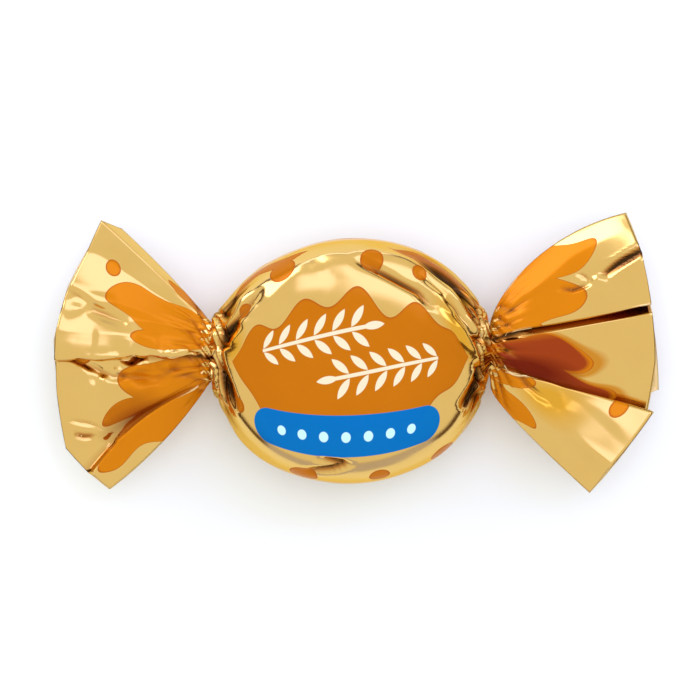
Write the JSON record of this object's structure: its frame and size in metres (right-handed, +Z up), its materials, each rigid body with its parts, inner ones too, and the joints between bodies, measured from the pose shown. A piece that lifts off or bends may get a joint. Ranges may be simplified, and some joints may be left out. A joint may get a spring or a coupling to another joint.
{
  "type": "wrapped caramel candy",
  "caption": "Oval caramel sweet in a double-twist film wrapper, with a gathered neck and a pleated fan of film at either end.",
  "frame": {"origin": "centre of the small flat that the body rests on, below the middle of the body", "axes": "+X along the wrapper from one twisted end to the other, +Y across it, +Z up out of the printed side"},
  "size_m": [0.0546, 0.0253, 0.0139],
  "materials": {
    "film": "thin gold-metallised plastic film, mirror-like, with fields of orange and blue print"
  },
  "bodies": {
    "root": {"wrapped_candy": "film"}
  },
  "joints": []
}
